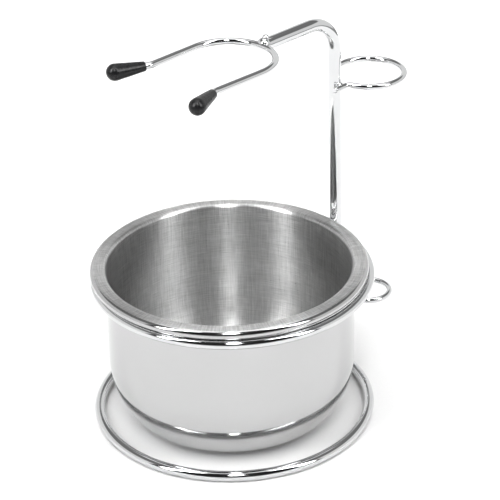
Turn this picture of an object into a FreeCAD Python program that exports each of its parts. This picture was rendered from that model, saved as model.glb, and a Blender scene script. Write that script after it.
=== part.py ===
"""Shaving stand of chromed wire with a stainless steel lather bowl.

Millimetres, +Z up. The origin is the centre of the base ring on the table top.
The post stands at +X, the brush fork reaches back over the bowl towards -X,
and the razor rings are on the far side of the post.
"""

import FreeCAD, Part
import math
import os

# Base ring: a closed ring of heavy wire that lies on the table.
BASE_RING_RADIUS = 49.7
BASE_WIRE = 3.8

# Bowl ring: the ring that the bowl's rolled lip rests on. It is set a little towards the post.
BOWL_RING_RADIUS = 49.5
BOWL_RING_WIRE = 3.4
BOWL_RING_HEIGHT = 55.1
BOWL_RING_SHIFT = 0.9

# Post and arm: one rod, upright and then bent over the bowl.
ROD = 4.6
POST_X = 54.5
POST_FOOT = 0.3
ARM_HEIGHT = 138.0
ARM_BEND = 13.0

# Brush fork: one wire, bent to a round-backed U whose prongs flare at the ends.
FORK_WIRE = 2.5
FORK_BACK_X = 18.0
FORK_HALF_WIDTH = 16.6
FORK_NECK_HALF_WIDTH = 16.0
FORK_SHOULDER = 16.0
FLARE_X = -18.8
FLARE_ANGLE = math.radians(19.7)
FLARE_BEND = 5.0
PRONG_TIP_X = -31.8

# Fork tips: soft caps pushed over the prong ends.
TIP_BULB_RADIUS = 3.0
TIP_MOUTH_RADIUS = 1.75
TIP_LENGTH = 14.0
TIP_MOUTH_EDGE = 0.35
TIP_OVERHANG = 2.4
TIP_BULB_MID = math.radians(40.0)

# Razor ring and guide ring: the razor's handle hangs down through both.
RAZOR_WIRE = 2.3
RAZOR_RING_RADIUS = 12.9
RAZOR_RING_HEIGHT = 111.4
GUIDE_WIRE = 2.2
GUIDE_RING_RADIUS = 8.2
GUIDE_RING_HEIGHT = 20.0
RING_AXIS_X = 70.9
RING_AXIS_Y = -1.5
TAIL_START_X = 50.9
TAIL_BEND = 3.0
RAZOR_END_ANGLE = 168.0
GUIDE_END_ANGLE = 176.0

# Bowl: a deep drawn cup of sheet steel with a rolled lip.
SHEET = 0.7
BOWL_X = -0.5
BOWL_OUTER_RADIUS = 44.7
BOWL_FLOOR_Z = 0.9
WALL_FOOT_Z = 24.0
HAUNCH_RADIUS = 32.0
FOOT_BEND = 12.0
LIP_OUTER_RADIUS = 50.0
LIP_ROLL_RADIUS = 1.7
LIP_TOP_Z = 60.55
LIP_INNER_BEND = 1.6
LIP_ROLL_ANGLE = math.radians(255.0)

# Weld beads: lumps of filler metal where the rods meet, plated over with them.
WELD_RADIUS = 2.1
BASE_WELD_STRETCH = (0.8, 1.1, 0.8)
BOWL_RING_WELD_STRETCH = (0.8, 1.1, 1.0)
SMALL_WELD_RADIUS = 1.8
FORK_WELD_STRETCH = (1.0, 1.2, 1.1)
FORK_WELD_SHIFT = (1.2, 0.4)
FORK_NUB_RADIUS = 1.3
FORK_NUB_SHIFT = (2.2, 2.4)
TOUCH = 0.02

ORIGIN = FreeCAD.Vector(0, 0, 0)
UP = FreeCAD.Vector(0, 0, 1)
FULL_TURN = 2.0 * math.pi


def point(x, y, z):
    return FreeCAD.Vector(x, y, z)


def start_of(edge):
    return edge.valueAt(edge.FirstParameter)


def end_of(edge):
    return edge.valueAt(edge.LastParameter)


def bent_path(points, bends):
    """Straight runs through the points, joined by tangent arcs of the given radii."""
    edges = []
    start = points[0]
    for before, corner, after, bend in zip(points, points[1:], points[2:], bends):
        back = (before - corner).normalize()
        ahead = (after - corner).normalize()
        half_angle = back.getAngle(ahead) / 2.0
        run = bend / math.tan(half_angle)
        enter = corner + back * run
        leave = corner + ahead * run
        inward = (back + ahead).normalize()
        crown = corner + inward * (bend / math.sin(half_angle) - bend)
        if (enter - start).Length > TOUCH:
            edges.append(Part.LineSegment(start, enter).toShape())
        edges.append(Part.Arc(enter, crown, leave).toShape())
        start = leave
    edges.append(Part.LineSegment(start, points[-1]).toShape())
    return edges


def wire_along(edges, diameter):
    """A round wire swept along a chain of tangent edges."""
    path = Part.Wire(edges)
    heading = edges[0].tangentAt(edges[0].FirstParameter)
    section = Part.Wire([Part.makeCircle(diameter / 2.0, start_of(edges[0]), heading)])
    return path.makePipeShell([section], True, True)


def closed_ring(radius, diameter, centre):
    return Part.makeTorus(radius, diameter / 2.0, centre, UP)


def make_base_ring():
    return closed_ring(BASE_RING_RADIUS, BASE_WIRE, point(0, 0, BASE_WIRE / 2.0))


def make_bowl_ring():
    centre = point(BOWL_RING_SHIFT, 0, BOWL_RING_HEIGHT)
    return closed_ring(BOWL_RING_RADIUS, BOWL_RING_WIRE, centre)


def make_post():
    """The upright, its bend and the arm, which stops at the back of the fork."""
    arm_end_x = FORK_BACK_X + FORK_WIRE / 2.0 + TOUCH
    foot = point(POST_X, 0, POST_FOOT)
    corner = point(POST_X, 0, ARM_HEIGHT)
    arm_end = point(arm_end_x, 0, ARM_HEIGHT)
    return wire_along(bent_path([foot, corner, arm_end], [ARM_BEND]), ROD)


def prong_points(side):
    """One prong from its tip to the middle of the fork's back, on the +Y or -Y side."""
    flare_run = FLARE_X - PRONG_TIP_X
    tip_y = FORK_NECK_HALF_WIDTH + flare_run * math.tan(FLARE_ANGLE)
    tip = point(PRONG_TIP_X, side * tip_y, ARM_HEIGHT)
    neck = point(FLARE_X, side * FORK_NECK_HALF_WIDTH, ARM_HEIGHT)
    shoulder = point(FORK_BACK_X, side * FORK_HALF_WIDTH, ARM_HEIGHT)
    return [tip, neck, shoulder]


def make_brush_fork():
    points = prong_points(1) + prong_points(-1)[::-1]
    bends = [FLARE_BEND, FORK_SHOULDER, FORK_SHOULDER, FLARE_BEND]
    return wire_along(bent_path(points, bends), FORK_WIRE)


def make_fork_tip(side, fork):
    """A tapered cap with a round bulb at its end, bored for the wire."""
    tip, neck, shoulder = prong_points(side)
    outward = (tip - neck).normalize()
    bulb_x = TIP_LENGTH - TIP_BULB_RADIUS
    slope = math.asin((TIP_BULB_RADIUS - TIP_MOUTH_RADIUS) / bulb_x)
    shoulder_x = bulb_x - TIP_BULB_RADIUS * math.sin(slope)
    shoulder_r = TIP_BULB_RADIUS * math.cos(slope)
    round_end = TIP_MOUTH_EDGE * (1.0 - math.sqrt(0.5))
    mouth_inner = point(0, 0, 0)
    mouth_flat = point(TIP_MOUTH_RADIUS - TIP_MOUTH_EDGE, 0, 0)
    mouth_round = point(TIP_MOUTH_RADIUS - round_end, 0, round_end)
    mouth_side = point(TIP_MOUTH_RADIUS, 0, TIP_MOUTH_EDGE)
    bulb_start = point(shoulder_r, 0, shoulder_x)
    bulb_side_r = TIP_BULB_RADIUS * math.cos(TIP_BULB_MID)
    bulb_side = point(bulb_side_r, 0, bulb_x + TIP_BULB_RADIUS * math.sin(TIP_BULB_MID))
    bulb_end = point(0, 0, TIP_LENGTH)
    outline = [
        Part.LineSegment(mouth_inner, mouth_flat).toShape(),
        Part.Arc(mouth_flat, mouth_round, mouth_side).toShape(),
        Part.LineSegment(mouth_side, bulb_start).toShape(),
        Part.Arc(bulb_start, bulb_side, bulb_end).toShape(),
        Part.LineSegment(bulb_end, mouth_inner).toShape(),
    ]
    cap = Part.Face(Part.Wire(outline)).revolve(ORIGIN, UP, 360)
    mouth = tip + outward * (TIP_OVERHANG - TIP_LENGTH)
    cap.Placement = FreeCAD.Placement(mouth, FreeCAD.Rotation(UP, outward))
    return cap.cut(fork)


def make_eyelet(radius, diameter, height, end_angle):
    """An open ring whose wire leaves it in a straight tail along the post's -Y side."""
    tail_y = -(ROD + diameter) / 2.0 - TOUCH
    bend_y = tail_y - TAIL_BEND
    bend_drop = bend_y - RING_AXIS_Y
    bend_x = RING_AXIS_X - math.sqrt((radius + TAIL_BEND) ** 2 - bend_drop**2)
    join_angle = math.atan2(bend_drop, bend_x - RING_AXIS_X) + FULL_TURN
    stop_angle = math.radians(end_angle) + FULL_TURN
    tail_start = point(TAIL_START_X, tail_y, height)
    tail_end = point(bend_x, tail_y, height)
    turn = join_angle - math.pi
    bend_mid_angle = (math.pi / 2.0 + turn) / 2.0
    bend_mid = point(
        bend_x + TAIL_BEND * math.cos(bend_mid_angle),
        bend_y + TAIL_BEND * math.sin(bend_mid_angle),
        height,
    )

    def on_ring(angle):
        x = RING_AXIS_X + radius * math.cos(angle)
        y = RING_AXIS_Y + radius * math.sin(angle)
        return point(x, y, height)

    join = on_ring(join_angle)
    middle = on_ring((join_angle + stop_angle) / 2.0)
    edges = [
        Part.LineSegment(tail_start, tail_end).toShape(),
        Part.Arc(tail_end, bend_mid, join).toShape(),
        Part.Arc(join, middle, on_ring(stop_angle)).toShape(),
    ]
    return wire_along(edges, diameter)


def make_razor_ring():
    return make_eyelet(RAZOR_RING_RADIUS, RAZOR_WIRE, RAZOR_RING_HEIGHT, RAZOR_END_ANGLE)


def make_guide_ring():
    return make_eyelet(GUIDE_RING_RADIUS, GUIDE_WIRE, GUIDE_RING_HEIGHT, GUIDE_END_ANGLE)


def bowl_outline(offset):
    """The bowl's section from the middle of its floor to the start of its lip.

    The outer face has an offset of 0 and the inner face one sheet thickness.
    """
    wall_radius = BOWL_OUTER_RADIUS - offset
    haunch = HAUNCH_RADIUS - offset
    foot = FOOT_BEND - offset
    haunch_x = BOWL_OUTER_RADIUS - HAUNCH_RADIUS
    foot_z = BOWL_FLOOR_Z + FOOT_BEND
    turn = math.asin((WALL_FOOT_Z - foot_z) / (HAUNCH_RADIUS - FOOT_BEND))
    foot_x = haunch_x + (HAUNCH_RADIUS - FOOT_BEND) * math.cos(turn)
    foot_turn = (math.pi / 2.0 + turn) / 2.0
    centre = point(0, 0, BOWL_FLOOR_Z + offset)
    foot_start = point(foot_x, 0, BOWL_FLOOR_Z + offset)

    def below(x, z, radius, angle):
        return point(x + radius * math.cos(angle), 0, z - radius * math.sin(angle))

    foot_mid = below(foot_x, foot_z, foot, foot_turn)
    foot_end = below(foot_x, foot_z, foot, turn)
    haunch_mid = below(haunch_x, WALL_FOOT_Z, haunch, turn / 2.0)
    wall_foot = point(wall_radius, 0, WALL_FOOT_Z)
    wall_top = point(wall_radius, 0, LIP_TOP_Z - LIP_INNER_BEND)
    return [
        Part.LineSegment(centre, foot_start).toShape(),
        Part.Arc(foot_start, foot_mid, foot_end).toShape(),
        Part.Arc(foot_end, haunch_mid, wall_foot).toShape(),
        Part.LineSegment(wall_foot, wall_top).toShape(),
    ]


def lip_outline(offset):
    """The lip's section: a bend outwards, a flat top and a roll turned under.

    The upper face has an offset of one sheet thickness and the under face 0.
    """
    bend = LIP_INNER_BEND - SHEET + offset
    top_z = LIP_TOP_Z - SHEET + offset
    roll = LIP_ROLL_RADIUS - SHEET + offset
    bend_x = BOWL_OUTER_RADIUS - SHEET + LIP_INNER_BEND
    bend_z = LIP_TOP_Z - LIP_INNER_BEND
    roll_x = LIP_OUTER_RADIUS - LIP_ROLL_RADIUS
    roll_z = LIP_TOP_Z - LIP_ROLL_RADIUS
    diagonal = math.sqrt(0.5)
    end_angle = math.pi / 2.0 - LIP_ROLL_ANGLE
    mid_angle = math.pi / 2.0 - LIP_ROLL_ANGLE / 2.0
    bend_start = point(bend_x - bend, 0, bend_z)
    bend_mid = point(bend_x - bend * diagonal, 0, bend_z + bend * diagonal)
    flat_start = point(bend_x, 0, top_z)
    flat_end = point(roll_x, 0, top_z)
    roll_mid = point(roll_x + roll * math.cos(mid_angle), 0, roll_z + roll * math.sin(mid_angle))
    roll_end = point(roll_x + roll * math.cos(end_angle), 0, roll_z + roll * math.sin(end_angle))
    return [
        Part.Arc(bend_start, bend_mid, flat_start).toShape(),
        Part.LineSegment(flat_start, flat_end).toShape(),
        Part.Arc(flat_end, roll_mid, roll_end).toShape(),
    ]


def make_bowl():
    outer = bowl_outline(0.0) + lip_outline(0.0)
    inner = bowl_outline(SHEET) + lip_outline(SHEET)
    axis_edge = Part.LineSegment(start_of(outer[0]), start_of(inner[0]))
    lip_edge = Part.LineSegment(end_of(outer[-1]), end_of(inner[-1]))
    edges = outer + [lip_edge.toShape()] + inner + [axis_edge.toShape()]
    section = Part.Face(Part.Wire(Part.__sortEdges__(edges)))
    bowl = section.revolve(ORIGIN, UP, 360)
    bowl.translate(point(BOWL_X, 0, 0))
    return bowl


def stretched_ball(centre, radius, stretch):
    ball = Part.makeSphere(radius)
    scale = FreeCAD.Matrix()
    scale.scale(stretch[0], stretch[1], stretch[2])
    ball = ball.transformGeometry(scale)
    ball.translate(centre)
    return ball


def make_base_weld(post, base_ring):
    centre = point(BASE_RING_RADIUS + BASE_WIRE / 2.0 + TOUCH, 0, BASE_WIRE / 2.0)
    return stretched_ball(centre, WELD_RADIUS, BASE_WELD_STRETCH).cut(post).cut(base_ring)


def make_bowl_ring_weld(post, bowl_ring):
    centre = point(BOWL_RING_SHIFT + BOWL_RING_RADIUS + BOWL_RING_WIRE / 2.0, 0, BOWL_RING_HEIGHT)
    return stretched_ball(centre, WELD_RADIUS, BOWL_RING_WELD_STRETCH).cut(post).cut(bowl_ring)


def make_fork_weld(post, fork):
    """The joint of arm and fork, with the round nub that the weld leaves on top."""
    joint = point(FORK_BACK_X + FORK_WELD_SHIFT[0], 0, ARM_HEIGHT + FORK_WELD_SHIFT[1])
    nub = point(FORK_BACK_X + FORK_NUB_SHIFT[0], 0, ARM_HEIGHT + FORK_NUB_SHIFT[1])
    body = stretched_ball(joint, WELD_RADIUS, FORK_WELD_STRETCH)
    return body.fuse(Part.makeSphere(FORK_NUB_RADIUS, nub)).removeSplitter().cut(post).cut(fork)


def make_eyelet_weld(post, eyelet, height):
    """The bead round the spot where an eyelet's tail crosses the post."""
    spot = point(POST_X, -(ROD + TOUCH) / 2.0, height)
    return Part.makeSphere(SMALL_WELD_RADIUS, spot).cut(post).cut(eyelet)


def main():
    base_ring = make_base_ring()
    bowl_ring = make_bowl_ring()
    post = make_post()
    fork = make_brush_fork()
    razor_ring = make_razor_ring()
    guide_ring = make_guide_ring()
    parts = {
        "base_ring": base_ring,
        "bowl_ring": bowl_ring,
        "post": post,
        "brush_fork": fork,
        "fork_tip_left": make_fork_tip(1, fork),
        "fork_tip_right": make_fork_tip(-1, fork),
        "razor_ring": razor_ring,
        "guide_ring": guide_ring,
        "bowl": make_bowl(),
        "base_weld": make_base_weld(post, base_ring),
        "bowl_ring_weld": make_bowl_ring_weld(post, bowl_ring),
        "fork_weld": make_fork_weld(post, fork),
        "razor_ring_weld": make_eyelet_weld(post, razor_ring, RAZOR_RING_HEIGHT),
        "guide_ring_weld": make_eyelet_weld(post, guide_ring, GUIDE_RING_HEIGHT),
    }
    os.makedirs("parts", exist_ok=True)
    for name, shape in parts.items():
        shape.exportStep("parts/" + name + ".step")
        print(name, len(shape.Solids), "solids", round(shape.Volume, 2), "mm3", shape.isValid())


main()
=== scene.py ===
"""The looks of a chromed wire shaving stand with a stainless steel lather bowl. Metres, +Z up."""

import math

import bmesh
import bpy
from mathutils import Matrix, Vector


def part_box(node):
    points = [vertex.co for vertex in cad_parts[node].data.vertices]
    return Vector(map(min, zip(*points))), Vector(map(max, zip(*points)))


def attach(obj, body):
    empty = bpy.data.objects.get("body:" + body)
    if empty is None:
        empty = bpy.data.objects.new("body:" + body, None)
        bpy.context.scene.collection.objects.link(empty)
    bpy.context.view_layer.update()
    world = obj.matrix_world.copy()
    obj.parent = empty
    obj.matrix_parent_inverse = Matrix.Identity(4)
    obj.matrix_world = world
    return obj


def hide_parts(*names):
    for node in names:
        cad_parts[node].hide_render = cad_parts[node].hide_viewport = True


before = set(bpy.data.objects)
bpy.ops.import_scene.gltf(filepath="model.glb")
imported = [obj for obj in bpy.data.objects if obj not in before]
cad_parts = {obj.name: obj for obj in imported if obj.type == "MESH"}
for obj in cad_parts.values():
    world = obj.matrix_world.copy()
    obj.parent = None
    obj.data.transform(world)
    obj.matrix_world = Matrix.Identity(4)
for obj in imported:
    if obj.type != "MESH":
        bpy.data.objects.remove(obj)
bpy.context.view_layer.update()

FULL_TURN = 2.0 * math.pi

# Bends and places that the frame's boxes don't give. On each side the fork widens a little
# from its neck to its shoulders.
ARM_BEND = 0.013
FORK_SHOULDER = 0.016
FORK_WIDENING = 0.0006
FLARE_X = -0.0188
FLARE_ANGLE = math.radians(19.7)
FLARE_BEND = 0.005
TAIL_BEND = 0.003
RAZOR_END_ANGLE = math.radians(168.0)
GUIDE_END_ANGLE = math.radians(176.0)
RING_AXIS_X = 0.0709
RING_AXIS_Y = -0.0015

# The bowl's sheet and the bends of its section.
SHEET = 0.0007
BOWL_WALL_RADIUS = 0.0447
WALL_FOOT = 0.024
HAUNCH_RADIUS = 0.032
FOOT_BEND = 0.012
LIP_ROLL_RADIUS = 0.0017
LIP_INNER_BEND = 0.0016
LIP_ROLL_ANGLE = math.radians(255.0)

# The brushed part of the lip ends this share of the roll's radius in from its outermost edge.
BRUSHED_LIP_END = 0.6
BOWL_STEPS = 256
OUTSIDE_SLOT = 0
INSIDE_SLOT = 1
LIP_SLOT = 2

# A wire's cut end is rounded off over this share of its radius, in this many steps.
END_ROUNDING = 0.35
END_STEPS = 4

# Even faces: steps round a closed ring, sides of the wires and the longest straight stretches.
RING_STEPS = 288
EYELET_STEPS = 150
TAIL_BEND_STEPS = 14
RING_SIDES = 48
POST_SIDES = 56
FORK_SIDES = 40
EYELET_SIDES = 36
POST_STRETCH = 0.004
FORK_STRETCH = 0.003
EYELET_STRETCH = 0.002
POST_TURN = math.radians(2.0)
FORK_TURN = math.radians(3.0)

# A point of a lathe section this near the axis is on it.
ON_AXIS = 1e-7

# The turning marks on the bowl: the scale of their noise, in cells to a metre.
FINE_MARKS = 5200.0
BROAD_MARKS = 420.0

# The height that a full step of noise stands for in the bowl's bump shading.
MARK_DEPTH = 0.0001

# How far a brushed finish's roughness strays from its middle value.
ROUGHNESS_SPREAD = 0.04

# The camera's direction, in degrees clockwise from +Y.
VIEW_BEARING = 43.54

# The studio sky, seen from the object. Bearings are degrees clockwise from straight behind it,
# as the camera looks. Each panel is (bearing, half width, bottom, top, strength), with soft edges.
SKY_PANELS = [
    (0.0, 190.0, -95.0, -4.0, 0.35),
    (0.0, 112.0, -4.0, 31.0, 0.95),
    (180.0, 68.0, -4.0, 8.0, 0.42),
    (0.0, 112.0, 31.0, 95.0, 0.22),
    (180.0, 68.0, 8.0, 95.0, 0.025),
    (180.0, 6.0, 44.0, 95.0, 22.0),
    (122.0, 6.0, 18.0, 72.0, 13.0),
    (-125.0, 4.5, 18.0, 72.0, 23.0),
]
PANEL_EDGE = 2.0

# The panel overhead: (half width as a share of the sky's radius, bottom, top, strength). Its
# bottom and top are degrees up from straight behind the object, past the zenith if over 90.
TOP_PANEL = (0.36, 57.0, 96.0, 1.8)
TOP_PANEL_SIDE_EDGE = 0.08
TOP_PANEL_EDGE = 3.0

TABLE_RADIUS = 0.6


# ---------------------------------------------------------------- shapes


def smooth_object(name, bm, materials):
    """Turns a bmesh into a smooth-shaded object with the given materials."""
    mesh = bpy.data.meshes.new(name)
    bmesh.ops.recalc_face_normals(bm, faces=bm.faces)
    bm.to_mesh(mesh)
    bm.free()
    for polygon in mesh.polygons:
        polygon.use_smooth = True
    piece = bpy.data.objects.new(name, mesh)
    bpy.context.scene.collection.objects.link(piece)
    for material in materials:
        mesh.materials.append(material)
    return piece


def arc_points(centre, radius, start, stop, steps):
    """Points of a level arc, both ends included."""
    angles = [start + (stop - start) * i / steps for i in range(steps + 1)]
    return [centre + Vector((radius * math.cos(a), radius * math.sin(a), 0.0)) for a in angles]


def rounded_path(corners, bends, step):
    """Straight runs through the corners, with each inner corner rounded to its bend radius."""
    points = [corners[0]]
    for before, corner, after, bend in zip(corners, corners[1:], corners[2:], bends):
        back = (before - corner).normalized()
        ahead = (after - corner).normalized()
        half_angle = back.angle(ahead) / 2.0
        run = bend / math.tan(half_angle)
        centre = corner + (back + ahead).normalized() * (bend / math.sin(half_angle))
        first = corner + back * run - centre
        last = corner + ahead * run - centre
        turn = first.angle(last)
        axis = first.cross(last).normalized()
        steps = max(4, math.ceil(turn / step))
        for i in range(steps + 1):
            points.append(centre + Matrix.Rotation(turn * i / steps, 3, axis) @ first)
    points.append(corners[-1])
    return points


def split_long_runs(points, longest):
    """Adds even points on the long straight runs, so that the tube's faces stay even."""
    result = [points[0]]
    for a, b in zip(points, points[1:]):
        count = max(1, math.ceil((b - a).length / longest))
        result += [a.lerp(b, i / count) for i in range(1, count + 1)]
    return result


def end_rows(cut, inward, radius):
    """Centres and radii of the rows that round off a cut end, from the cut inwards."""
    rounding = radius * END_ROUNDING
    rows = []
    for k in range(END_STEPS + 1):
        a = math.pi / 2.0 * k / END_STEPS
        centre = cut + inward * rounding * (1 - math.sin(a))
        rows.append((centre, radius - rounding * (1 - math.cos(a))))
    return sorted(rows, key=lambda row: row[1])


def tube(name, points, radius, materials, sides, closed=False):
    """A round wire along the points, with softly rounded cut ends."""
    bm = bmesh.new()
    count = len(points)
    rings = []
    normal = None
    for i, p in enumerate(points):
        if closed:
            heading = (points[(i + 1) % count] - points[i - 1]).normalized()
        else:
            heading = (points[min(i + 1, count - 1)] - points[max(i - 1, 0)]).normalized()
        if normal is None:
            normal = heading.orthogonal().normalized()
            if abs(heading.z) < 0.9:
                normal = Vector((0, 0, 1)).cross(heading).normalized()
        normal = (normal - heading * normal.dot(heading)).normalized()
        side = heading.cross(normal)
        ring_sets = [(p, radius)]
        if not closed and i == 0:
            ring_sets = end_rows(p, heading, radius)
        elif not closed and i == count - 1:
            ring_sets = end_rows(p, -heading, radius)[::-1]
        for centre, r in ring_sets:
            ring = []
            for k in range(sides):
                a = FULL_TURN * k / sides
                across = centre + normal * (r * math.cos(a))
                ring.append(bm.verts.new(across + side * (r * math.sin(a))))
            rings.append(ring)
    pairs = list(zip(rings, rings[1:]))
    if closed:
        pairs.append((rings[-1], rings[0]))
    for a, b in pairs:
        for k in range(sides):
            bm.faces.new((a[k], a[(k + 1) % sides], b[(k + 1) % sides], b[k]))
    if not closed:
        bm.faces.new(rings[0])
        bm.faces.new(rings[-1])
    return smooth_object(name, bm, materials)


def lathe(name, outline, materials, centre, steps, slots):
    """A solid of revolution about the vertical through centre, from (radius, height) points.

    Slots gives the material slot of each band between two points.
    """
    bm = bmesh.new()
    rows = []
    for r, z in outline:
        if r < ON_AXIS:
            rows.append([bm.verts.new((centre.x, centre.y, z))])
            continue
        row = []
        for k in range(steps):
            a = FULL_TURN * k / steps
            row.append(bm.verts.new((centre.x + r * math.cos(a), centre.y + r * math.sin(a), z)))
        rows.append(row)
    for index, (a, b) in enumerate(zip(rows, rows[1:])):
        for k in range(steps):
            n = (k + 1) % steps
            if len(a) == 1:
                face = bm.faces.new((a[0], b[k], b[n]))
            elif len(b) == 1:
                face = bm.faces.new((a[k], b[0], a[n]))
            else:
                face = bm.faces.new((a[k], b[k], b[n], a[n]))
            face.material_index = slots[index]
    return smooth_object(name, bm, materials)


def section_arc(x, z, radius, start, stop, steps):
    """Points of an arc in a lathe section, both ends included."""
    angles = [start + (stop - start) * i / steps for i in range(steps + 1)]
    return [(x + radius * math.cos(a), z + radius * math.sin(a)) for a in angles]


# ---------------------------------------------------------------- materials


def new_material(name):
    material = bpy.data.materials.new(name)
    material.use_nodes = True
    tree = material.node_tree
    return material, tree, tree.nodes["Principled BSDF"]


def add_node(tree, kind, **inputs):
    node = tree.nodes.new(kind)
    for key, value in inputs.items():
        node.inputs[key.replace("_", " ")].default_value = value
    return node


def noise_node(tree, vector, scale, detail=3.0, roughness=0.5):
    node = add_node(tree, "ShaderNodeTexNoise", Scale=scale, Detail=detail, Roughness=roughness)
    tree.links.new(vector, node.inputs["Vector"])
    return node.outputs["Fac"]


def ramp(tree, value, low, high, out_low, out_high):
    """Maps a value from one range to another, held at the ends."""
    node = tree.nodes.new("ShaderNodeMapRange")
    tree.links.new(value, node.inputs["Value"])
    node.inputs["From Min"].default_value = low
    node.inputs["From Max"].default_value = high
    node.inputs["To Min"].default_value = out_low
    node.inputs["To Max"].default_value = out_high
    return node.outputs["Result"]


def math_node(tree, operation, a, b):
    node = tree.nodes.new("ShaderNodeMath")
    node.operation = operation
    if operation == "WRAP":
        node.inputs[2].default_value = -b
    for socket, value in zip(node.inputs, (a, b)):
        if isinstance(value, (int, float)):
            socket.default_value = value
        else:
            tree.links.new(value, socket)
    return node.outputs[0]


def weighted_sum(tree, a, a_share, b, b_share):
    first = math_node(tree, "MULTIPLY", a, a_share)
    second = math_node(tree, "MULTIPLY", b, b_share)
    return math_node(tree, "ADD", first, second)


def bump(tree, shader, height, strength, distance, under=None):
    node = add_node(tree, "ShaderNodeBump", Strength=strength, Distance=distance)
    tree.links.new(height, node.inputs["Height"])
    if under is not None:
        tree.links.new(under, node.inputs["Normal"])
    tree.links.new(node.outputs["Normal"], shader.inputs["Normal"])
    return node.outputs["Normal"]


def mixed_colour(tree, shader, factor, dark, light):
    """Blends the shader's base colour between two colours."""
    shade = tree.nodes.new("ShaderNodeMix")
    shade.data_type = "RGBA"
    shade.inputs["A"].default_value = dark
    shade.inputs["B"].default_value = light
    tree.links.new(factor, shade.inputs["Factor"])
    tree.links.new(shade.outputs["Result"], shader.inputs["Base Color"])


def object_position(tree):
    return tree.nodes.new("ShaderNodeTexCoord").outputs["Object"]


def turned_position(tree, centre, around, across, along):
    """Coordinates for brush marks that run round the bowl's axis, with no seam.

    The direction from the axis, the distance from it and the height are scaled apart,
    so that noise in these coordinates is drawn out along the turning direction.
    """
    shift = add_node(tree, "ShaderNodeVectorMath")
    shift.operation = "SUBTRACT"
    tree.links.new(object_position(tree), shift.inputs[0])
    shift.inputs[1].default_value = (centre.x, centre.y, 0.0)
    split = tree.nodes.new("ShaderNodeSeparateXYZ")
    tree.links.new(shift.outputs[0], split.inputs[0])
    flat = tree.nodes.new("ShaderNodeCombineXYZ")
    tree.links.new(split.outputs["X"], flat.inputs["X"])
    tree.links.new(split.outputs["Y"], flat.inputs["Y"])
    length = tree.nodes.new("ShaderNodeVectorMath")
    length.operation = "LENGTH"
    tree.links.new(flat.outputs[0], length.inputs[0])
    direction = tree.nodes.new("ShaderNodeVectorMath")
    direction.operation = "NORMALIZE"
    tree.links.new(flat.outputs[0], direction.inputs[0])
    parts = tree.nodes.new("ShaderNodeSeparateXYZ")
    tree.links.new(direction.outputs[0], parts.inputs[0])
    outward = math_node(tree, "MULTIPLY", length.outputs["Value"], across)
    upward = math_node(tree, "MULTIPLY", split.outputs["Z"], along)
    depth = math_node(tree, "ADD", outward, upward)
    result = tree.nodes.new("ShaderNodeCombineXYZ")
    tree.links.new(math_node(tree, "MULTIPLY", parts.outputs["X"], around), result.inputs["X"])
    tree.links.new(math_node(tree, "MULTIPLY", parts.outputs["Y"], around), result.inputs["Y"])
    tree.links.new(depth, result.inputs["Z"])
    return result.outputs[0]


def chrome_plate():
    """Bright chrome plate: a mirror with a faint ripple and a few cloudy patches."""
    material, tree, shader = new_material("chrome_plate")
    position = object_position(tree)
    shader.inputs["Metallic"].default_value = 1.0
    cloud = noise_node(tree, position, 90.0, detail=4.0)
    mixed_colour(tree, shader, cloud, (0.60, 0.605, 0.61, 1.0), (0.68, 0.685, 0.69, 1.0))
    tree.links.new(ramp(tree, cloud, 0.35, 0.75, 0.03, 0.09), shader.inputs["Roughness"])
    ripple = noise_node(tree, position, 260.0, detail=2.0)
    bump(tree, shader, ripple, strength=0.035, distance=0.0004)
    return material


def polished_steel(centre):
    """Buffed stainless steel: nearly a mirror, with hair-thin turning marks."""
    material, tree, shader = new_material("polished_steel")
    shader.inputs["Metallic"].default_value = 1.0
    position = object_position(tree)
    cloud = noise_node(tree, position, 45.0, detail=5.0)
    mixed_colour(tree, shader, cloud, (0.475, 0.475, 0.475, 1.0), (0.515, 0.515, 0.517, 1.0))
    turned = turned_position(tree, centre, around=1.2, across=0.0, along=FINE_MARKS)
    lines = noise_node(tree, turned, 1.0, roughness=0.7)
    tree.links.new(ramp(tree, lines, 0.3, 0.8, 0.06, 0.13), shader.inputs["Roughness"])
    bump(tree, shader, lines, strength=0.03, distance=MARK_DEPTH)
    return material


def brushed_steel(name, centre, dark, light, rough, lines_depth, strokes_depth):
    """Steel brushed round the bowl's axis: fine turning lines, crossed by short finishing strokes."""
    material, tree, shader = new_material(name)
    shader.inputs["Metallic"].default_value = 1.0
    shader.inputs["Anisotropic"].default_value = 0.95
    shader.inputs["Anisotropic Rotation"].default_value = 0.25
    tangent = tree.nodes.new("ShaderNodeTangent")
    tangent.direction_type = "RADIAL"
    tangent.axis = "Z"
    tree.links.new(tangent.outputs[0], shader.inputs["Tangent"])
    fine_turns = turned_position(tree, centre, around=7.0, across=FINE_MARKS, along=FINE_MARKS)
    fine = noise_node(tree, fine_turns, 1.0, roughness=0.6)
    broad_turns = turned_position(tree, centre, around=2.5, across=BROAD_MARKS, along=BROAD_MARKS)
    broad = noise_node(tree, broad_turns, 1.0, detail=4.0, roughness=0.6)
    short_turns = turned_position(tree, centre, around=110.0, across=150.0, along=110.0)
    strokes = noise_node(tree, short_turns, 1.0, roughness=0.6)
    lines = weighted_sum(tree, fine, 0.75, broad, 0.25)
    worn = weighted_sum(tree, lines, 0.6, strokes, 0.4)
    dark_colour = (dark, dark, dark * 0.995, 1.0)
    light_colour = (light, light, light * 0.995, 1.0)
    mixed_colour(tree, shader, ramp(tree, worn, 0.38, 0.62, 0.0, 1.0), dark_colour, light_colour)
    roughness = ramp(tree, worn, 0.35, 0.65, rough - ROUGHNESS_SPREAD, rough + ROUGHNESS_SPREAD)
    tree.links.new(roughness, shader.inputs["Roughness"])
    turned = bump(tree, shader, lines, lines_depth, MARK_DEPTH)
    bump(tree, shader, strokes, strokes_depth, MARK_DEPTH, turned)
    return material


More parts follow.
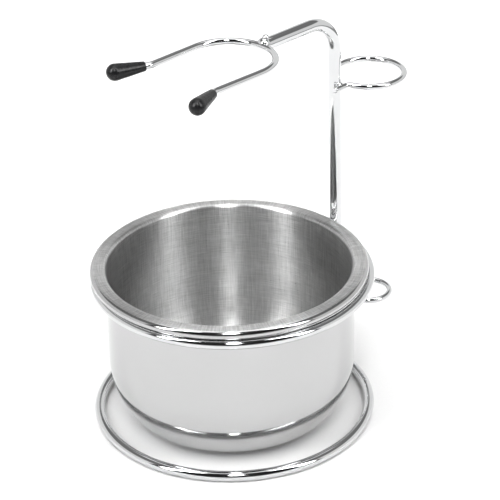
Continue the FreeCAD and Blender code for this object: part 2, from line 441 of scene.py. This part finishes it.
def tip_rubber():
    """Soft black vinyl: satin, with a fine moulded grain."""
    material, tree, shader = new_material("tip_rubber")
    position = object_position(tree)
    cloud = noise_node(tree, position, 500.0, detail=4.0)
    mixed_colour(tree, shader, cloud, (0.003, 0.003, 0.0035, 1.0), (0.008, 0.008, 0.0085, 1.0))
    shader.inputs["Specular IOR Level"].default_value = 0.3
    tree.links.new(ramp(tree, cloud, 0.3, 0.7, 0.22, 0.34), shader.inputs["Roughness"])
    grain = noise_node(tree, position, 1800.0, detail=2.0)
    bump(tree, shader, grain, strength=0.10, distance=0.00006)
    return material


# ---------------------------------------------------------------- pieces


def make_ring(node, material):
    """A closed ring of round wire, as large as its node."""
    low, high = (Vector(v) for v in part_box(node))
    wire = (high.z - low.z) / 2.0
    radius = (high.x - low.x) / 2.0 - wire
    centre = (low + high) / 2.0
    points = arc_points(centre, radius, 0.0, FULL_TURN, RING_STEPS)[:-1]
    piece = tube(node + "_wire", points, wire, [material], RING_SIDES, closed=True)
    finish_piece(piece, node, "stand")


def finish_piece(piece, node, body):
    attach(piece, body)
    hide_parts(node)


def make_post(material):
    low, high = (Vector(v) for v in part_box("post"))
    rod = (high.y - low.y) / 2.0
    post_x = high.x - rod
    arm_z = high.z - rod
    corners = [Vector((post_x, 0, low.z)), Vector((post_x, 0, arm_z)), Vector((low.x, 0, arm_z))]
    points = split_long_runs(rounded_path(corners, [ARM_BEND], POST_TURN), POST_STRETCH)
    piece = tube("post_rod", points, rod, [material], POST_SIDES)
    finish_piece(piece, "post", "stand")


def fork_corners():
    """The fork's corner points, from the tip of the left prong round to the right one."""
    low, high = (Vector(v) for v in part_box("brush_fork"))
    wire = (high.z - low.z) / 2.0
    level = (high.z + low.z) / 2.0
    back_x = high.x - wire
    tip_x = low.x + wire * math.sin(FLARE_ANGLE)
    tip_y = high.y - wire * math.cos(FLARE_ANGLE)
    neck_y = tip_y - (FLARE_X - tip_x) * math.tan(FLARE_ANGLE)
    shoulder_y = neck_y + FORK_WIDENING
    tip = Vector((tip_x, tip_y, level))
    neck = Vector((FLARE_X, neck_y, level))
    shoulder = Vector((back_x, shoulder_y, level))
    left = [tip, neck, shoulder]
    right = [Vector((p.x, -p.y, p.z)) for p in reversed(left)]
    return left + right, wire


def make_fork(material):
    corners, wire = fork_corners()
    bends = [FLARE_BEND, FORK_SHOULDER, FORK_SHOULDER, FLARE_BEND]
    points = split_long_runs(rounded_path(corners, bends, FORK_TURN), FORK_STRETCH)
    piece = tube("brush_fork_wire", points, wire, [material], FORK_SIDES)
    finish_piece(piece, "brush_fork", "stand")


def eyelet_points(node, radius, end_angle):
    """The path of an open ring whose wire leaves it in a straight tail beside the post."""
    low, high = (Vector(v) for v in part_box(node))
    post_low, post_high = (Vector(v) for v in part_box("post"))
    wire = (high.z - low.z) / 2.0
    level = (high.z + low.z) / 2.0
    tail_y = -(post_high.y - post_low.y) / 2.0 - wire
    bend_y = tail_y - TAIL_BEND
    bend_drop = bend_y - RING_AXIS_Y
    bend_x = RING_AXIS_X - math.sqrt((radius + TAIL_BEND) ** 2 - bend_drop**2)
    join = math.atan2(bend_drop, bend_x - RING_AXIS_X) + FULL_TURN
    bend_centre = Vector((bend_x, bend_y, level))
    ring_centre = Vector((RING_AXIS_X, RING_AXIS_Y, level))
    tail = [Vector((low.x, tail_y, level))]
    bend = arc_points(bend_centre, TAIL_BEND, math.pi / 2.0, join - math.pi, TAIL_BEND_STEPS)
    ring = arc_points(ring_centre, radius, join, end_angle + FULL_TURN, EYELET_STEPS)
    return split_long_runs(tail + bend + ring[1:], EYELET_STRETCH), wire


def make_eyelet(node, end_angle, material):
    low, high = (Vector(v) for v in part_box(node))
    radius = high.x - (high.z - low.z) / 2.0 - RING_AXIS_X
    points, wire = eyelet_points(node, radius, end_angle)
    piece = tube(node + "_wire", points, wire, [material], EYELET_SIDES)
    finish_piece(piece, node, "stand")


def bowl_section(offset):
    """The bowl's section from the middle of its floor to its lip, as (radius, height) points."""
    low, high = (Vector(v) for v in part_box("bowl"))
    floor = low.z
    lip_top = high.z
    lip_radius = (high.x - low.x) / 2.0
    foot_z = floor + FOOT_BEND
    haunch_x = BOWL_WALL_RADIUS - HAUNCH_RADIUS
    turn = math.asin((WALL_FOOT - foot_z) / (HAUNCH_RADIUS - FOOT_BEND))
    foot_x = haunch_x + (HAUNCH_RADIUS - FOOT_BEND) * math.cos(turn)
    bend_z = lip_top - LIP_INNER_BEND
    bend_x = BOWL_WALL_RADIUS - SHEET + LIP_INNER_BEND
    roll_x = lip_radius - LIP_ROLL_RADIUS
    roll_z = lip_top - LIP_ROLL_RADIUS
    quarter = math.pi / 2.0
    floor_points = [(foot_x * i / 12.0, floor + offset) for i in range(12)]
    foot = section_arc(foot_x, foot_z, FOOT_BEND - offset, -quarter, -turn, 20)
    haunch = section_arc(haunch_x, WALL_FOOT, HAUNCH_RADIUS - offset, -turn, 0.0, 24)
    wall = [(BOWL_WALL_RADIUS - offset, WALL_FOOT + (bend_z - WALL_FOOT) * i / 12.0) for i in range(1, 12)]
    bend = section_arc(bend_x, bend_z, LIP_INNER_BEND - SHEET + offset, math.pi, quarter, 12)
    flat = [(bend_x + (roll_x - bend_x) * i / 4.0, lip_top - SHEET + offset) for i in range(1, 4)]
    roll_radius = LIP_ROLL_RADIUS - SHEET + offset
    roll = section_arc(roll_x, roll_z, roll_radius, quarter, quarter - LIP_ROLL_ANGLE, 40)
    return floor_points + foot + haunch[1:] + wall, bend + flat + roll


def make_bowl(outside, inside, lip):
    low, high = (Vector(v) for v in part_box("bowl"))
    centre = (low + high) / 2.0
    outer_wall, outer_lip = bowl_section(0.0)
    inner_wall, inner_lip = bowl_section(SHEET)
    outline = outer_wall + outer_lip + inner_lip[::-1] + inner_wall[::-1]
    lip_start = len(outer_wall) + len(outer_lip)
    lip_stop = lip_start + len(inner_lip)
    lip_edge = (high.x - low.x) / 2.0 - LIP_ROLL_RADIUS * BRUSHED_LIP_END
    slots = []
    for i in range(len(outline) - 1):
        radius, height = outline[i]
        on_lip = lip_start <= i < lip_stop
        rolled_under = radius > lip_edge or height < high.z - LIP_ROLL_RADIUS
        if i < lip_start or (on_lip and rolled_under):
            slots.append(OUTSIDE_SLOT)
        elif on_lip:
            slots.append(LIP_SLOT)
        else:
            slots.append(INSIDE_SLOT)
    piece = lathe("bowl_shell", outline, [outside, inside, lip], centre, BOWL_STEPS, slots)
    finish_piece(piece, "bowl", "bowl")


def dress_cad_nodes(names, material):
    """Gives the CAD solids that stay as they are their finish."""
    for name in names:
        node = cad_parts[name]
        for slot in node.material_slots:
            slot.material = material


# ---------------------------------------------------------------- studio


def area_light(name, location, target, size, power):
    data = bpy.data.lights.new(name, "AREA")
    data.shape = "RECTANGLE"
    data.size, data.size_y = size
    data.energy = power
    light = bpy.data.objects.new(name, data)
    light.location = location
    light.rotation_mode = "QUATERNION"
    light.rotation_quaternion = (Vector(target) - Vector(location)).to_track_quat("-Z", "Y")
    bpy.context.scene.collection.objects.link(light)
    return light


def make_floor():
    bm = bmesh.new()
    bmesh.ops.create_circle(bm, cap_ends=True, radius=TABLE_RADIUS, segments=96)
    material, tree, shader = new_material("paper_floor")
    shader.inputs["Roughness"].default_value = 0.9
    shader.inputs["Specular IOR Level"].default_value = 0.1
    fibre = noise_node(tree, object_position(tree), 900.0, 3.0)
    mixed_colour(tree, shader, fibre, (0.54, 0.54, 0.54, 1.0), (0.57, 0.57, 0.57, 1.0))
    floor = smooth_object("floor", bm, [material])


def band(tree, value, low, high, soft):
    """1 where a value is between two limits and 0 outside them, with soft steps."""
    rise = ramp(tree, value, low - soft, low + soft, 0.0, 1.0)
    fall = ramp(tree, value, high - soft, high + soft, 1.0, 0.0)
    return math_node(tree, "MULTIPLY", rise, fall)


def make_world():
    """A photographer's studio: white screens low down behind, grey above them, lamps in front."""
    world = bpy.data.worlds.new("studio")
    bpy.context.scene.world = world
    world.use_nodes = True
    tree = world.node_tree
    turned = add_node(tree, "ShaderNodeVectorRotate")
    turned.rotation_type = "Z_AXIS"
    turned.inputs["Angle"].default_value = math.radians(VIEW_BEARING)
    tree.links.new(tree.nodes.new("ShaderNodeTexCoord").outputs["Generated"], turned.inputs["Vector"])
    split = tree.nodes.new("ShaderNodeSeparateXYZ")
    tree.links.new(turned.outputs[0], split.inputs[0])
    right, ahead, up = split.outputs
    to_degrees = 180.0 / math.pi
    bearing = math_node(tree, "MULTIPLY", math_node(tree, "ARCTAN2", right, ahead), to_degrees)
    rise = math_node(tree, "MULTIPLY", math_node(tree, "ARCSINE", up, 0.0), to_degrees)
    half_width, bottom, top, strength = TOP_PANEL
    tilt = math_node(tree, "MULTIPLY", math_node(tree, "ARCTAN2", up, ahead), to_degrees)
    across = band(tree, right, -half_width, half_width, TOP_PANEL_SIDE_EDGE)
    upwards = band(tree, tilt, bottom, top, TOP_PANEL_EDGE)
    panel = math_node(tree, "MULTIPLY", across, upwards)
    light = math_node(tree, "MULTIPLY", panel, strength)
    for centre, half_width, bottom, top, strength in SKY_PANELS:
        offset = math_node(tree, "WRAP", math_node(tree, "SUBTRACT", bearing, centre), 180.0)
        across = band(tree, offset, -half_width, half_width, PANEL_EDGE)
        upwards = band(tree, rise, bottom, top, PANEL_EDGE)
        panel = math_node(tree, "MULTIPLY", across, upwards)
        light = math_node(tree, "ADD", light, math_node(tree, "MULTIPLY", panel, strength))
    background = tree.nodes["Background"]
    background.inputs["Color"].default_value = (1.0, 1.0, 1.0, 1.0)
    tree.links.new(light, background.inputs["Strength"])


def make_camera():
    """The camera stands 0.66 m in front, towards the fork, and looks down from 0.42 m up."""
    azimuth = math.radians(-VIEW_BEARING)
    pitch = math.radians(28.47)
    roll = math.radians(-1.55)
    distance = 0.6596
    height = 0.4225
    sideways = 0.00724
    focal_over_width = 4.2088
    right = Vector((math.cos(azimuth), math.sin(azimuth), 0.0))
    ahead = Vector((-math.sin(azimuth), math.cos(azimuth), 0.0))
    look = ahead * math.cos(pitch) - Vector((0, 0, math.sin(pitch)))
    up = ahead * math.sin(pitch) + Vector((0, 0, math.cos(pitch)))
    rolled_right = right * math.cos(roll) + up * math.sin(roll)
    rolled_up = up * math.cos(roll) - right * math.sin(roll)
    data = bpy.data.cameras.new("camera")
    data.sensor_width = 36.0
    data.lens = data.sensor_width * focal_over_width
    camera = bpy.data.objects.new("camera", data)
    turn = Matrix((rolled_right, rolled_up, -look)).transposed()
    camera.matrix_world = turn.to_4x4()
    camera.location = right * sideways - ahead * distance + Vector((0, 0, height))
    bpy.context.scene.collection.objects.link(camera)
    bpy.context.scene.camera = camera


def make_studio():
    make_floor()
    make_world()
    above = (0.0, 0.0, 1.2)
    overhead = area_light("overhead", above, target=(0.0, 0.0, 0.0), size=(5.0, 5.0), power=78.0)
    overhead.visible_glossy = False
    make_camera()
    bpy.context.scene.view_settings.view_transform = "Standard"


bowl_low, bowl_high = (Vector(v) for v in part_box("bowl"))
bowl_centre = (bowl_low + bowl_high) / 2.0
chrome = chrome_plate()
make_ring("base_ring", chrome)
make_ring("bowl_ring", chrome)
make_post(chrome)
make_fork(chrome)
make_eyelet("razor_ring", RAZOR_END_ANGLE, chrome)
make_eyelet("guide_ring", GUIDE_END_ANGLE, chrome)
outside = polished_steel(bowl_centre)
inside_finish = {"dark": 0.42, "light": 0.68, "rough": 0.31, "lines_depth": 0.45, "strokes_depth": 0.14}
lip_finish = {"dark": 0.38, "light": 0.76, "rough": 0.32, "lines_depth": 0.22, "strokes_depth": 0.09}
inside = brushed_steel("brushed_inside", bowl_centre, **inside_finish)
lip = brushed_steel("brushed_lip", bowl_centre, **lip_finish)
make_bowl(outside, inside, lip)
dress_cad_nodes(["base_weld", "bowl_ring_weld", "fork_weld", "razor_ring_weld", "guide_ring_weld"], chrome)
dress_cad_nodes(["fork_tip_left", "fork_tip_right"], tip_rubber())
make_studio()
